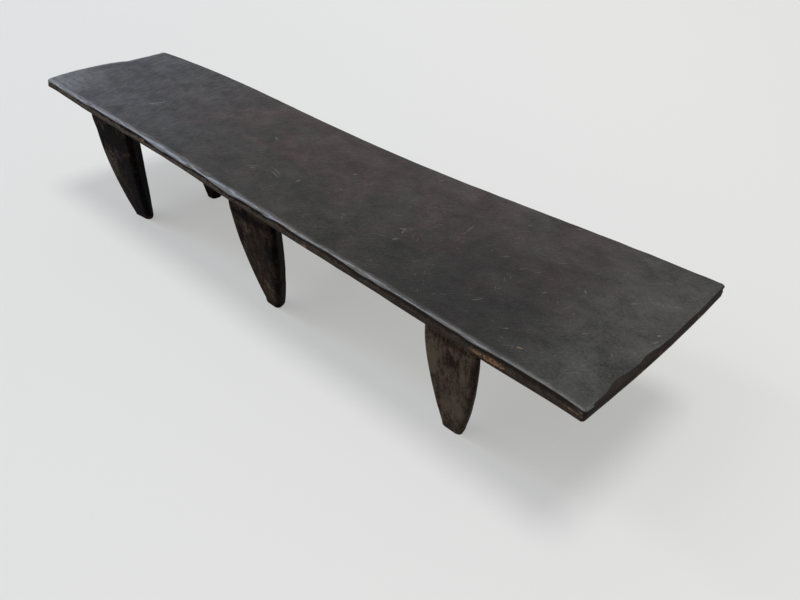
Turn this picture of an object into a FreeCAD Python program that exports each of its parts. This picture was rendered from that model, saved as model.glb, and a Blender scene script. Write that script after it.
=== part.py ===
import FreeCAD, Part
import os
import Sketcher

# A long low daybed hewn from one log: a plank that widens and thickens towards
# one end, on three pairs of legs that lean inwards and taper to small feet.
# Millimetres. X runs along the length towards the wide end, Y from the front
# edge to the back edge, Z up from the floor, and the origin is under the middle.

SIZES = (
    # The plank
    ("length", 2141),
    ("wide_end_width", 715),
    ("narrow_end_width", 458),
    ("seat_height", 410),
    ("thin_edge", 24),
    ("thick_edge", 42),
    ("underside_crown", 8),
    ("front_wave", 12),
    ("planing_allowance", 1),
    ("narrow_end_bow_radius", 1900),
    ("narrow_end_bow_place", 113),
    ("wide_end_bow_radius", 9000),
    ("wide_end_bow_place", 333),
    ("worn_corner_radius", 18),
    ("corner_radius", 12),
    ("corner_overrun", 0.3),
    ("rim_radius", 12),
    ("arris_radius", 4),
    # The legs
    ("narrow_pair_root", 211),
    ("middle_pair_root", 215),
    ("wide_pair_root", 194),
    ("root_setback", 6),
    ("root_depth", 70),
    ("foot_width", 68),
    ("foot_depth", 44),
    ("front_foot_inset", 111),
    ("back_foot_inset", 130),
    ("foot_drift", 2),
    ("leg_arris_radius", 14),
    ("sole_radius", 10),
)

# The plank's cross-sections, from the narrow end to the wide end: the place along
# the plank, how much of front_wave the front edge is set in, how far the back edge
# has run out from the narrow width to the wide one, how far the edge has grown from
# thin to thick, and how much of underside_crown the underside bellies down.
STATION_SHARES = (
    (0.0, 0.25, -0.009, 0.15, 0.4),
    (0.067, 0.37, 0.078, 0.25, 0.6),
    (0.166, 0.67, 0.187, 0.5, 0.9),
    (0.295, 0.92, 0.251, 0.5, 1.0),
    (0.424, 0.37, 0.306, 0.5, 1.0),
    (0.553, 0.21, 0.413, 0.56, 1.0),
    (0.682, 0.37, 0.576, 0.7, 1.0),
    (0.801, 0.33, 0.759, 0.88, 0.9),
    (0.901, 0.46, 0.9, 1.0, 0.7),
    (1.0, -0.18, 1.01, 0.6, 0.5),
)

# The pairs of legs: each leg's place along the plank, the shares of front_wave and
# of the back edge's run-out there, the slope of the back edge there as a share of
# its mean slope, the shares of the feet's insets, and the powers by which the two
# narrow sides fall in to the foot.
PAIRS = {
    "narrow_end": {
        "root": "Sizes.narrow_pair_root",
        "place_shares": {"front": 0.1609, "back": 0.1728},
        "wave_share": 0.70,
        "spread_share": 0.191,
        "slope_share": 0.77,
        "inset_shares": {"front": 0.96, "back": 0.96},
        "narrow_side_power": 1.91,
        "wide_side_power": 1.82,
    },
    "middle": {
        "root": "Sizes.middle_pair_root",
        "place_shares": {"front": 0.4767, "back": 0.4717},
        "wave_share": 0.22,
        "spread_share": 0.339,
        "slope_share": 0.82,
        "inset_shares": {"front": 1.05, "back": 0.9},
        "narrow_side_power": 1.05,
        "wide_side_power": 2.02,
    },
    "wide_end": {
        "root": "Sizes.wide_pair_root",
        "place_shares": {"front": 0.8163, "back": 0.8213},
        "wave_share": 0.34,
        "spread_share": 0.788,
        "slope_share": 1.26,
        "inset_shares": {"front": 1.0, "back": 1.0},
        "narrow_side_power": 1.49,
        "wide_side_power": 1.86,
    },
}

# A leg's cross-sections, as shares of its drop from the plank to the floor. Its
# outer and inner faces lean in as powers of that share, and the inner face is
# narrower than the outer one, above all at the root.
DROP_SHARES = (0.0, 0.25, 0.5, 0.72, 0.88, 1.0)
OUTER_FACE_POWER = 1.37
INNER_FACE_POWER = 1.45
INNER_ROOT_SHARE = 0.51
INNER_FOOT_SHARE = 0.73

# The sole's worn edge, as shares of its radius: how high, and how far in.
SOLE_SHARES = ((0.3, 0.15), (0.0, 0.6))

FRONT_LINE = "(-Sizes.wide_end_width / 2)"
BACK_SPREAD = "(Sizes.wide_end_width - Sizes.narrow_end_width)"
RIM = "min(Sizes.rim_radius; Sizes.thin_edge / 2)"
ARRIS = "min(Sizes.arris_radius; Sizes.thin_edge / 4)"
LEG_ARRIS = "min(Sizes.leg_arris_radius; Sizes.foot_depth / 3; Sizes.foot_width / 4)"
SOLE_ARRIS = f"min(Sizes.sole_radius; {LEG_ARRIS} * 3 / 4)"

doc = FreeCAD.newDocument("daybed")
sheet = doc.addObject("Spreadsheet::Sheet", "Sizes")
for row, (word, value) in enumerate(SIZES, start=1):
    sheet.set(f"A{row}", word)
    sheet.set(f"B{row}", str(value))
    sheet.setAlias(f"B{row}", word)
doc.recompute()


def number(owner, expression):
    """The present value of an expression."""
    return float(owner.evalExpression(expression))


def front_edge(wave_share):
    """Where the plank's front edge runs, from its share of the wave."""
    return f"({FRONT_LINE} + Sizes.front_wave * {wave_share})"


def back_edge(spread_share):
    """Where the plank's back edge runs, from its share of the run-out."""
    return f"({FRONT_LINE} + Sizes.narrow_end_width + {BACK_SPREAD} * {spread_share})"


def new_sketch(body, name, role, offset):
    """A sketch on one of the body's own base planes, lifted off it by an expression."""
    sketch = body.newObject("Sketcher::SketchObject", name)
    base = next(item for item in body.Origin.OriginFeatures if item.Role == role)
    sketch.AttachmentSupport = [(base, "")]
    sketch.MapMode = "FlatFace"
    sketch.setExpression("AttachmentOffset.Base.z", offset)
    return sketch


def hold(sketch, kind, *where, size):
    """A driving constraint whose size is an expression."""
    index = sketch.addConstraint(Sketcher.Constraint(kind, *where, number(sketch, size)))
    sketch.setExpression(f"Constraints[{index}]", size)


def hold_from_origin(sketch, kind, line, end, place):
    """Fix one coordinate of a line's end or an arc's centre."""
    if number(sketch, place) < 0:
        hold(sketch, kind, line, end, -1, 1, size=f"-({place})")
    else:
        hold(sketch, kind, -1, 1, line, end, size=place)


def join(sketch, *ends):
    """Make pairs of curve ends meet."""
    for line, end, other_line, other_end in ends:
        sketch.addConstraint(Sketcher.Constraint("Coincident", line, end, other_line, other_end))


def inner_point(curve, corner):
    """A point on the curve, a twentieth of its length in from the corner."""
    first, last = curve.FirstParameter, curve.LastParameter
    starts_there = curve.value(first).distanceToPoint(corner) < curve.value(last).distanceToPoint(corner)
    return curve.value(first + (last - first) * (1 / 20 if starts_there else 19 / 20))


def round_corners(sketch, corners):
    """Round the corners between pairs of curves.

    A corner is a curve, its end there, the curve it meets and the radius. What comes
    back is each corner's arc and the point that marks where the corner was."""
    arcs = []
    places = []
    for curve, end, other, radius in corners:
        place = FreeCAD.Vector(sketch.getPoint(curve, end))
        reach = [inner_point(sketch.Geometry[each], place) for each in (curve, other)]
        arcs.append(sketch.GeometryCount)
        places.append(place)
        sketch.fillet(curve, other, *reach, number(sketch, radius), True, False)
    marks = []
    for arc, place, (curve, _, other, radius) in zip(arcs, places, corners):
        hold(sketch, "Radius", arc, size=radius)
        mark = sketch.addGeometry(Part.Point(place), True)
        for each in (curve, other):
            sketch.addConstraint(Sketcher.Constraint("PointOnObject", mark, 1, each))
        marks.append(mark)
    return arcs, marks


def hew_corners(sketch, corners):
    """Take the corners off in two flats each, as a blade does, and return their marks."""
    arcs, marks = round_corners(sketch, corners)
    for arc in arcs:
        sketch.toggleConstruction(arc)
        start, end = sketch.getPoint(arc, 1), sketch.getPoint(arc, 2)
        curve = sketch.Geometry[arc]
        middle = curve.value((curve.FirstParameter + curve.LastParameter) / 2)
        first = sketch.addGeometry(Part.LineSegment(start, middle), False)
        second = sketch.addGeometry(Part.LineSegment(middle, end), False)
        join(sketch, (arc, 1, first, 1), (first, 2, second, 1), (second, 2, arc, 2))
        sketch.addConstraint(Sketcher.Constraint("PointOnObject", first, 2, arc))
        sketch.addConstraint(Sketcher.Constraint("Equal", first, second))
    return marks


def hewn_quadrilateral(sketch, corners, radius):
    """Four hewn corners, given as expressions, whose first and third sides run level."""
    points = [FreeCAD.Vector(number(sketch, x), number(sketch, y), 0) for x, y in corners]
    for side in range(4):
        sketch.addGeometry(Part.LineSegment(points[side], points[(side + 1) % 4]), False)
    for side in range(4):
        join(sketch, (side, 2, (side + 1) % 4, 1))
    for side in (0, 2):
        sketch.addConstraint(Sketcher.Constraint("Horizontal", side))
    marks = hew_corners(sketch, [(side, 1, (side - 1) % 4, radius) for side in range(4)])
    for mark, (x, _) in zip(marks, corners):
        hold_from_origin(sketch, "DistanceX", mark, 1, x)
    for side in (0, 2):
        hold_from_origin(sketch, "DistanceY", marks[side], 1, corners[side][1])


def slab_station(body, step):
    """One cross-section of the plank, with a straight top and a bellied underside."""
    place_share, wave_share, spread_share, edge_share, crown_share = STATION_SHARES[step]
    sketch = new_sketch(body, f"Station{step}", "YZ_Plane", f"Sizes.length * ({place_share} - 1 / 2)")
    front = front_edge(wave_share)
    back = back_edge(spread_share)
    low = f"Sizes.seat_height - Sizes.thin_edge - (Sizes.thick_edge - Sizes.thin_edge) * {edge_share}"
    high = "Sizes.seat_height + Sizes.planing_allowance"
    belly = f"(Sizes.underside_crown * {crown_share})"
    half_width = f"(({back} - {front}) / 2)"

    front_low = FreeCAD.Vector(number(sketch, front), number(sketch, low), 0)
    front_high = FreeCAD.Vector(number(sketch, front), number(sketch, high), 0)
    back_high = FreeCAD.Vector(number(sketch, back), number(sketch, high), 0)
    back_low = FreeCAD.Vector(number(sketch, back), number(sketch, low), 0)
    lowest = (front_low + back_low) / 2 - FreeCAD.Vector(0, number(sketch, belly), 0)
    sketch.addGeometry(Part.LineSegment(front_low, front_high), False)
    sketch.addGeometry(Part.LineSegment(front_high, back_high), False)
    sketch.addGeometry(Part.LineSegment(back_high, back_low), False)
    sketch.addGeometry(Part.Arc(front_low, lowest, back_low), False)
    join(sketch, (0, 2, 1, 1), (1, 2, 2, 1), (3, 1, 0, 1), (3, 2, 2, 2))
    for side in (0, 2):
        sketch.addConstraint(Sketcher.Constraint("Vertical", side))
    sketch.addConstraint(Sketcher.Constraint("Horizontal", 1))
    corners = ((0, 2, 1, RIM), (1, 2, 2, RIM), (2, 2, 3, ARRIS), (0, 1, 3, ARRIS))
    front_top, _, back_under, front_under = hew_corners(sketch, corners)
    sketch.addConstraint(Sketcher.Constraint("Horizontal", front_under, 1, back_under, 1))
    hold_from_origin(sketch, "DistanceX", front_under, 1, front)
    hold_from_origin(sketch, "DistanceX", back_under, 1, back)
    hold_from_origin(sketch, "DistanceY", front_under, 1, low)
    hold_from_origin(sketch, "DistanceY", front_top, 1, high)
    hold(sketch, "Radius", 3, size=f"({half_width} ^ 2 + {belly} ^ 2) / (2 * {belly})")
    return sketch


def end_waste(body, name, side, bow, corner_radii):
    """The waste round one end of the plank, which leaves it bowed, with rounded corners.

    Side is -1 at the narrow end and 1 at the wide end. The bow is its radius and how
    far from the front it reaches furthest. The radii are those of the front corner
    and the back corner."""
    sketch = new_sketch(body, name, "XY_Plane", "Sizes.seat_height")
    bow_radius, bow_place = bow
    end_station, next_station = (STATION_SHARES[:2], STATION_SHARES[:-3:-1])[side > 0]
    centre_x = f"({side} * (Sizes.length / 2 - {bow_radius}))"
    centre_y = f"({FRONT_LINE} + {bow_place})"
    inside_x = f"(Sizes.length * ({next_station[0]} - 1 / 2))"
    outside_x = f"({side} * (Sizes.length / 2 + Sizes.wide_end_width))"
    outside_y = "Sizes.wide_end_width"
    front = f"({front_edge(end_station[1])} - Sizes.corner_overrun)"
    back = f"({back_edge(end_station[2])} + Sizes.corner_overrun)"
    back_inside = f"({back_edge(next_station[2])} + Sizes.corner_overrun * 4)"

    def on_bow(y):
        """The bow's point at one distance from the middle line."""
        across = number(sketch, y) - number(sketch, centre_y)
        along = (number(sketch, bow_radius) ** 2 - across ** 2) ** 0.5
        return FreeCAD.Vector(number(sketch, centre_x) + side * along, number(sketch, y), 0)

    corners = (
        (inside_x, back_inside),
        (inside_x, outside_y),
        (outside_x, outside_y),
        (outside_x, f"-{outside_y}"),
        (inside_x, f"-{outside_y}"),
        (inside_x, front),
    )
    outline = [FreeCAD.Vector(number(sketch, x), number(sketch, y), 0) for x, y in corners]
    outline = [on_bow(back), *outline, on_bow(front)]
    # The bow is drawn anticlockwise, so at the narrow end it starts at its back corner.
    bow_ends = (outline[-1], outline[0]) if side > 0 else (outline[0], outline[-1])
    sketch.addGeometry(Part.Arc(bow_ends[0], on_bow(centre_y), bow_ends[1]), False)
    for start, end in zip(outline, outline[1:]):
        sketch.addGeometry(Part.LineSegment(start, end), False)
    arc_back, arc_front = (2, 1) if side > 0 else (1, 2)
    join(sketch, (0, arc_back, 1, 1), (7, 2, 0, arc_front))
    for line in range(1, 7):
        join(sketch, (line, 2, line + 1, 1))
    for line in (3, 5, 7):
        sketch.addConstraint(Sketcher.Constraint("Horizontal", line))
    for line in (2, 4, 6):
        sketch.addConstraint(Sketcher.Constraint("Vertical", line))
    front_radius, back_radius = corner_radii
    corners_to_round = ((7, 2, 0, front_radius), (1, 1, 0, back_radius))
    _, (front_mark, back_mark) = round_corners(sketch, corners_to_round)
    hold_from_origin(sketch, "DistanceX", 0, 3, centre_x)
    hold_from_origin(sketch, "DistanceY", 0, 3, centre_y)
    hold(sketch, "Radius", 0, size=bow_radius)
    hold_from_origin(sketch, "DistanceY", front_mark, 1, front)
    hold_from_origin(sketch, "DistanceY", back_mark, 1, back)
    for line, (x, y) in ((2, corners[0]), (4, corners[2])):
        hold_from_origin(sketch, "DistanceX", line, 1, x)
        hold_from_origin(sketch, "DistanceY", line, 1, y)
    hold_from_origin(sketch, "DistanceX", 6, 1, inside_x)
    hold_from_origin(sketch, "DistanceY", 6, 1, f"-{outside_y}")
    return sketch


def loft(body, name, sections, ruled):
    """Join the cross-sections up into one form."""
    feature = body.newObject("PartDesign::AdditiveLoft", name)
    feature.Profile = sections[0]
    feature.Sections = sections[1:]
    feature.Ruled = ruled
    doc.recompute()
    return feature


def pocket(body, name, sketch, upwards, depth):
    """Cut the sketch's waste away."""
    feature = body.newObject("PartDesign::Pocket", name)
    feature.Profile = sketch
    feature.Reversed = upwards
    feature.setExpression("Length", depth)
    doc.recompute()
    return feature


def top_slab():
    """The plank: lofted, planed flat on top, and its ends cut to a bow."""
    body = doc.addObject("PartDesign::Body", "TopSlab")
    body.Label = "top_slab"
    stations = [slab_station(body, step) for step in range(len(STATION_SHARES))]
    doc.recompute()
    loft(body, "HewnBlank", stations, False)

    waste = new_sketch(body, "TopWaste", "XY_Plane", "Sizes.seat_height")
    x, y = "Sizes.length", "Sizes.wide_end_width"
    corners = ((f"-{x}", f"-{y}"), (x, f"-{y}"), (x, y), (f"-{x}", y))
    hewn_quadrilateral(waste, corners, "Sizes.corner_radius")
    pocket(body, "PlanedTop", waste, True, "Sizes.planing_allowance * 2")

    depth = "Sizes.thick_edge + Sizes.underside_crown * 2"
    narrow_bow = ("Sizes.narrow_end_bow_radius", "Sizes.narrow_end_bow_place")
    narrow_corners = ("Sizes.worn_corner_radius", "Sizes.corner_radius")
    narrow_waste = end_waste(body, "NarrowEndWaste", -1, narrow_bow, narrow_corners)
    pocket(body, "NarrowEnd", narrow_waste, False, depth)
    wide_bow = ("Sizes.wide_end_bow_radius", "Sizes.wide_end_bow_place")
    wide_corners = ("Sizes.corner_radius", "Sizes.corner_radius")
    wide_waste = end_waste(body, "WideEndWaste", 1, wide_bow, wide_corners)
    pocket(body, "WideEnd", wide_waste, False, depth)
    return body


def leg_section(body, name, pair, facing, foot_inset, drop_share, height, shrink="0"):
    """One cross-section of a leg: facing is 1 on the front edge, -1 on the back edge."""
    sketch = new_sketch(body, name, "XY_Plane", height)
    half_root = f"{pair['root']} / 2"
    half_foot = "Sizes.foot_width / 2"
    wide_fall = drop_share ** pair["wide_side_power"]
    narrow_fall = drop_share ** pair["narrow_side_power"]
    outer_fall = drop_share ** OUTER_FACE_POWER
    inner_fall = drop_share ** INNER_FACE_POWER
    inner_share = INNER_ROOT_SHARE + (INNER_FOOT_SHARE - INNER_ROOT_SHARE) * drop_share
    wide = f"({half_root} - ({half_root} - {half_foot} - Sizes.foot_drift) * {wide_fall:.4f} - {shrink})"
    narrow = f"(({half_root} - {half_foot} + Sizes.foot_drift) * {narrow_fall:.4f} - {half_root} + {shrink})"
    left, right = (narrow, wide) if facing > 0 else (f"(-{wide})", f"(-{narrow})")
    middle = f"(({left} + {right}) / 2)"
    inner_half = f"(({right} - {left}) / 2 * {inner_share:.4f})"
    outer_root = "Sizes.root_setback"
    inner_root = "(Sizes.root_setback + Sizes.root_depth)"
    outer_run = f"({foot_inset} - Sizes.foot_depth / 2 - {outer_root})"
    inner_run = f"({foot_inset} + Sizes.foot_depth / 2 - {inner_root})"
    outer = f"({outer_root} + {outer_run} * {outer_fall:.4f} + {shrink})"
    inner = f"({inner_root} + {inner_run} * {inner_fall:.4f} - {shrink})"
    corners = (
        (left, outer),
        (right, outer),
        (f"({middle} + {inner_half})", inner),
        (f"({middle} - {inner_half})", inner),
    )
    hewn_quadrilateral(sketch, corners, f"({LEG_ARRIS} - {shrink})")
    return sketch


def leg(slab, pair_name, edge_name):
    """A leg, lofted from its root to its worn sole and cut to the plank's underside."""
    pair = PAIRS[pair_name]
    facing = 1 if edge_name == "front" else -1
    label = f"leg_{pair_name}_{edge_name}"
    word = label.title().replace("_", "")
    foot_inset = f"(Sizes.{edge_name}_foot_inset * {pair['inset_shares'][edge_name]})"
    body = doc.addObject("PartDesign::Body", f"{word}Blank")
    body.Label = f"{label}_blank"

    def section(name, drop_share, height, shrink="0"):
        """One of this leg's cross-sections."""
        return leg_section(body, f"{word}{name}", pair, facing, foot_inset, drop_share, height, shrink)

    sections = [section("Root", 0, "Sizes.seat_height - Sizes.thin_edge / 2")]
    for step, drop_share in enumerate(DROP_SHARES):
        height = f"{SOLE_ARRIS} + (Sizes.seat_height - Sizes.thick_edge - {SOLE_ARRIS}) * (1 - {drop_share})"
        sections.append(section(f"Level{step}", drop_share, height))
    soles = [sections[-1]]
    for step, (height_share, shrink_share) in enumerate(SOLE_SHARES):
        height = f"{SOLE_ARRIS} * {height_share}"
        soles.append(section(f"Sole{step}", 1, height, f"{SOLE_ARRIS} * {shrink_share}"))
    doc.recompute()
    loft(body, f"{word}Taper", sections, False)
    loft(body, f"{word}Sole", soles, True)

    x = f"Sizes.length * ({pair['place_shares'][edge_name]} - 1 / 2)"
    slope = f"{BACK_SPREAD} / Sizes.length * {pair['slope_share']}"
    if facing > 0:
        y = front_edge(pair["wave_share"])
        turn = None
    else:
        y = back_edge(pair["spread_share"])
        turn = f"180 deg + atan({slope})"
    upright = FreeCAD.Rotation(FreeCAD.Vector(0, 0, 1), 90 - 90 * facing)
    body.Placement = FreeCAD.Placement(FreeCAD.Vector(0, 0, 0), upright)
    body.setExpression("Placement.Base.x", x)
    body.setExpression("Placement.Base.y", y)
    if turn:
        body.setExpression("Placement.Rotation.Angle", turn)
    doc.recompute()

    seated = doc.addObject("Part::Cut", word)
    seated.Label = label
    seated.Base = body
    seated.Tool = slab
    doc.recompute()
    return seated


def main():
    """Make every piece, check it and write it out."""
    slab = top_slab()
    pieces = [slab]
    for pair_name in PAIRS:
        for edge_name in ("front", "back"):
            pieces.append(leg(slab, pair_name, edge_name))
    for item in doc.Objects:
        if "Invalid" in item.State or "Error" in item.State:
            raise RuntimeError(f"{item.Name} failed: {item.State}")
    os.makedirs("parts", exist_ok=True)
    for piece in pieces:
        if piece.Shape.isNull() or not piece.Shape.isValid() or len(piece.Shape.Solids) != 1:
            raise RuntimeError(f"{piece.Label} is not one sound solid")
        piece.Shape.exportStep(f"parts/{piece.Label}.step")
        box = piece.Shape.optimalBoundingBox(True, False)
        print(f"{piece.Label}: {box.XLength:.1f} x {box.YLength:.1f} x {box.ZLength:.1f} mm")


main()
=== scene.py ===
import math

import bmesh
import bpy
import numpy as np
from mathutils import Matrix, Vector
from mathutils.bvhtree import BVHTree


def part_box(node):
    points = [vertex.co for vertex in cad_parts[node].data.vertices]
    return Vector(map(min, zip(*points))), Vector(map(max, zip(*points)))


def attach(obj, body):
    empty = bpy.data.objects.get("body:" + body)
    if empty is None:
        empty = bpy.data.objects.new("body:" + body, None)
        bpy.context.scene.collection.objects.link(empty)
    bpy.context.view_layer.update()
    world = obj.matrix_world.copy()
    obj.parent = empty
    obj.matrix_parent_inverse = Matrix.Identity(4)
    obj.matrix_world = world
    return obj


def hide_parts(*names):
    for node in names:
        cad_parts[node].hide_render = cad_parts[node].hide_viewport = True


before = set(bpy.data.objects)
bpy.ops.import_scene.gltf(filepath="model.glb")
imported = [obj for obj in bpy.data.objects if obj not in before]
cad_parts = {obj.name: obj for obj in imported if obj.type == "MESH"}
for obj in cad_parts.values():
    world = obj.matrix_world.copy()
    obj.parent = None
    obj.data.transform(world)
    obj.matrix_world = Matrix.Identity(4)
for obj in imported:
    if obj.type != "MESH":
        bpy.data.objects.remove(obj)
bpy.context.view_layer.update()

# A long low daybed hewn from one log. Metres: X runs along the plank towards its
# wide end, Y from the front edge to the back edge, Z up from the floor.

MM = 0.001

# The plank
SLAB_LOW, SLAB_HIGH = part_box("top_slab")
LENGTH = SLAB_HIGH.x - SLAB_LOW.x
TOP = SLAB_HIGH.z
FRONT_LINE = -357.5 * MM
BACK_LINE_AT_NARROW_END = FRONT_LINE + 458 * MM
BACK_RUN_OUT = (715 - 458) * MM
FRONT_WAVE = 12 * MM
THICK_EDGE = 42 * MM
WALL_DEPTH = 16 * MM
BORDER = 24 * MM
ARRIS = 3.2 * MM
EDGE_HOLLOW = 1.6 * MM
CORNER_TURN = 60 * MM
GRID_WIDTH = 560 * MM
FINE_STEP = 3 * MM
COARSE_STEP = 6 * MM
FINE_REACH = 70 * MM

# The legs
ROOT_SETBACK = 6 * MM
ROOT_DEPTH = 70 * MM
FOOT_WIDTH = 68 * MM
FOOT_DEPTH = 44 * MM
FOOT_DRIFT = 2 * MM
LEG_ROUNDING = 14 * MM
SOLE_ROUNDING_LOSS = 0.35
SEAM = 20 * MM
BELLY_POWER = 0.7
FLARE_REACH = 0.2
BACK_LEG_FLARE = 0.15
OUTER_FACE_POWER = 1.37
INNER_FACE_POWER = 1.45
INNER_ROOT_SHARE = 0.51
INNER_FOOT_SHARE = 0.73
LEG_TOP = TOP - 20 * MM
FOOT_INSETS = {"front": 111 * MM, "back": 130 * MM}
# Each pair's root width, its legs' places as shares of the length, the edges' wave, spread and
# slope there, the feet's insets as shares of the usual ones, how each side falls in towards the
# foot, how far it swells, ends and flares out, in mm, and how its soles are worn round
PAIRS = {
    "narrow_end": dict(root=211 * MM, front=0.1609, back=0.1728, wave=0.70, spread=0.191,
                       slope=0.77, insets={"front": 0.96, "back": 0.96},
                       narrow_power=1.91, wide_power=1.82,
                       narrow_swell=0.5, wide_swell=0.5, narrow_foot=0, wide_foot=2, narrow_flare=16,
                       sole_height=5 * MM, sole_shrink=2 * MM),
    "middle": dict(root=215 * MM, front=0.4767, back=0.4717, wave=0.22, spread=0.339,
                   slope=0.82, insets={"front": 1.05, "back": 0.9},
                   narrow_power=1.05, wide_power=2.02,
                   narrow_swell=2.5, wide_swell=0, narrow_foot=0, wide_foot=0, narrow_flare=3,
                   sole_height=18 * MM, sole_shrink=9 * MM),
    "wide_end": dict(root=194 * MM, front=0.8163, back=0.8213, wave=0.34, spread=0.788,
                     slope=1.26, insets={"front": 1.0, "back": 1.0},
                     narrow_power=1.30, wide_power=1.86,
                     narrow_swell=1, wide_swell=3.5, narrow_foot=6, wide_foot=0, narrow_flare=-2,
                     sole_height=7 * MM, sole_shrink=2 * MM),
}

# How far the narrow back leg's narrow side is cut in, by how far down it is, in mm
FOOT_TRIM = ((0, 0), (0.7, -3), (0.92, -6), (1, 20))
# How far the outer wide-side corner of the narrow front leg's foot is twisted along the plank,
# and the share of that by which it is twisted inwards
FOOT_TWIST = 18 * MM
TWIST_INWARDS = 0.7

# The worn rim along the front edge: place, then width on the top and depth on the face, in mm
FRONT_RIM = (
    (-1.05, 6, 5), (-0.94, 7, 6), (-0.84, 9, 7), (-0.79, 7, 6), (-0.70, 8, 7), (-0.62, 7, 6),
    (-0.55, 9, 7), (-0.49, 14, 10), (-0.40, 16, 11), (-0.34, 14, 10), (-0.29, 8, 6), (-0.20, 14, 10),
    (-0.12, 14, 10), (-0.07, 7, 6), (-0.03, 8, 6), (0.03, 12, 9), (0.08, 6, 5), (0.12, 8, 6),
    (0.18, 6, 5), (0.26, 6, 5), (0.33, 7, 6), (0.39, 9, 8), (0.45, 9, 8), (0.50, 6, 5),
    (0.58, 5, 5), (0.65, 7, 6), (0.75, 8, 7), (0.80, 5, 5), (0.90, 4, 4), (1.07, 3, 4),
)
# The bevel hewn along the wide end: place across, width on the top and depth on the face
WIDE_END_BEVEL = (
    (-0.36, 2, 4), (-0.31, 3, 6), (-0.27, 5, 9), (-0.235, 12, 15), (-0.20, 13, 16),
    (-0.165, 7, 13), (-0.12, 5, 12), (-0.09, 10, 14), (-0.06, 9, 13), (-0.02, 4, 10),
    (0.03, 2, 9), (0.10, 3, 9), (0.20, 2, 8), (0.28, 4, 7), (0.33, 3, 5), (0.36, 3, 4),
)
BACK_RIM = (4, 3)
NARROW_END_RIM = (4, 4)
# How far the narrow end is hewn in from its bow, with a step in it: place across, depth in mm
NARROW_END_CUT = (
    (-0.36, 7), (-0.345, 2), (-0.32, 2), (-0.30, 1), (-0.23, 1), (-0.206, 3), (-0.16, 5),
    (-0.139, 6), (-0.117, 8), (-0.096, 11), (-0.078, 13), (-0.068, 16), (-0.058, 20),
    (-0.03, 18), (-0.007, 17), (0.017, 15), (0.041, 13), (0.065, 11), (0.085, 7), (0.10, 4),
)
# Shallow worn slopes inside the front rim: place, half length, width and drop
FRONT_SLOPES = (
    (0.182, 0.085, 34 * MM, 2.2 * MM), (0.752, 0.05, 26 * MM, 1.5 * MM),
    (-0.41, 0.12, 42 * MM, 3.4 * MM), (-0.89, 0.10, 30 * MM, 1.2 * MM),
    (-0.16, 0.08, 26 * MM, 2.0 * MM), (0.42, 0.07, 20 * MM, 1.0 * MM),
)

# How long and how wide the marks of blade and wear are
TOP_WAVE = (0.42, 0.25)
TOP_SCOOP = (0.070, 0.058)
TOP_RIPPLE = (0.03, 0.06)
UNDERSIDE_SCOOP = (0.11, 0.05)
UNDERSIDE_WAVE = (0.3, 0.2)
WALL_SCOOP = (0.08, 1)
WALL_WAVE = (0.2, 0.2)
WALL_ROUGHNESS = (0.035, 0.010)
RIM_WAVE = (0.035, 0.035)
ARRIS_WAVE = (0.05, 0.05)
LEG_SCOOP = (0.028, 0.085)
LEG_WAVE = (0.05, 0.12)
LEG_GRAIN = (0.008, 0.03)


def table_value(table, at, column):
    """A value between the rows of a table."""
    return np.interp(at, [row[0] for row in table], [row[column] for row in table])


# Seeded relief

def smooth(share):
    """From 0 to 1 with no kink at either end."""
    share = np.clip(share, 0, 1)
    return share * share * (3 - 2 * share)


def noise(x, y, cell, seed):
    """Seeded noise between -1 and 1 whose bumps are cell long and wide."""
    table = np.random.RandomState(seed).uniform(-1, 1, (256, 256))
    x = np.asarray(x) / cell[0] + 91
    y = np.asarray(y) / cell[1] + 91
    column, row = np.floor(x).astype(int), np.floor(y).astype(int)
    u, v = smooth(x - column), smooth(y - row)
    corners = [table[(column + i) % 256, (row + j) % 256] for j in (0, 1) for i in (0, 1)]
    near = corners[0] * (1 - u) + corners[1] * u
    far = corners[2] * (1 - u) + corners[3] * u
    return near * (1 - v) + far * v


def scoops(x, y, size, seed):
    """How deep the bites of a blade go, between 0 and 1: bowls that meet in ridges."""
    rng = np.random.RandomState(seed)
    shift_x, shift_y, width, depth = rng.uniform(0, 1, (4, 256, 256))
    x = np.asarray(x) / size[0] + 91
    y = np.asarray(y) / size[1] + 91
    column, row = np.floor(x).astype(int), np.floor(y).astype(int)
    cut = np.zeros(np.broadcast(x, y).shape)
    for i in (-1, 0, 1):
        for j in (-1, 0, 1):
            cell = (column + i) % 256, (row + j) % 256
            across = x - column - i - 0.2 - 0.6 * shift_x[cell]
            along = y - row - j - 0.2 - 0.6 * shift_y[cell]
            bowl = 1 - (across ** 2 + along ** 2) / (0.7 + 0.35 * width[cell]) ** 2
            cut = np.maximum(cut, (0.45 + 0.55 * depth[cell]) * bowl)
    return cut


def top_relief(x, y, from_front):
    """How far the worn top lies under the level of the seat."""
    wide_end = smooth((x - 0.45) / 0.35)
    cut = 0.5 * MM * (1 + noise(x, y, TOP_WAVE, 3))
    cut = cut + (0.4 + 1.0 * wide_end) * MM * scoops(x, y, TOP_SCOOP, 4)
    cut = cut + 0.15 * MM * (1 + noise(x, y, TOP_RIPPLE, 5))
    for place, half_length, width, drop in FRONT_SLOPES:
        there = smooth(1.6 - 1.6 * np.abs(x - place) / half_length)
        cut = cut + drop * there * np.clip(1 - from_front / width, 0, 1) ** 1.4
    corner = smooth((-0.90 - x) / 0.17) * smooth((-0.17 - y) / 0.15)
    return cut + 1.6 * MM * corner


def underside_relief(x, y):
    """How far the rough underside lies above its level."""
    cut = 1.2 * MM * scoops(x, y, UNDERSIDE_SCOOP, 7)
    return cut + 0.5 * MM * (1 + noise(x, y, UNDERSIDE_WAVE, 8))


# Meshes

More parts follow.
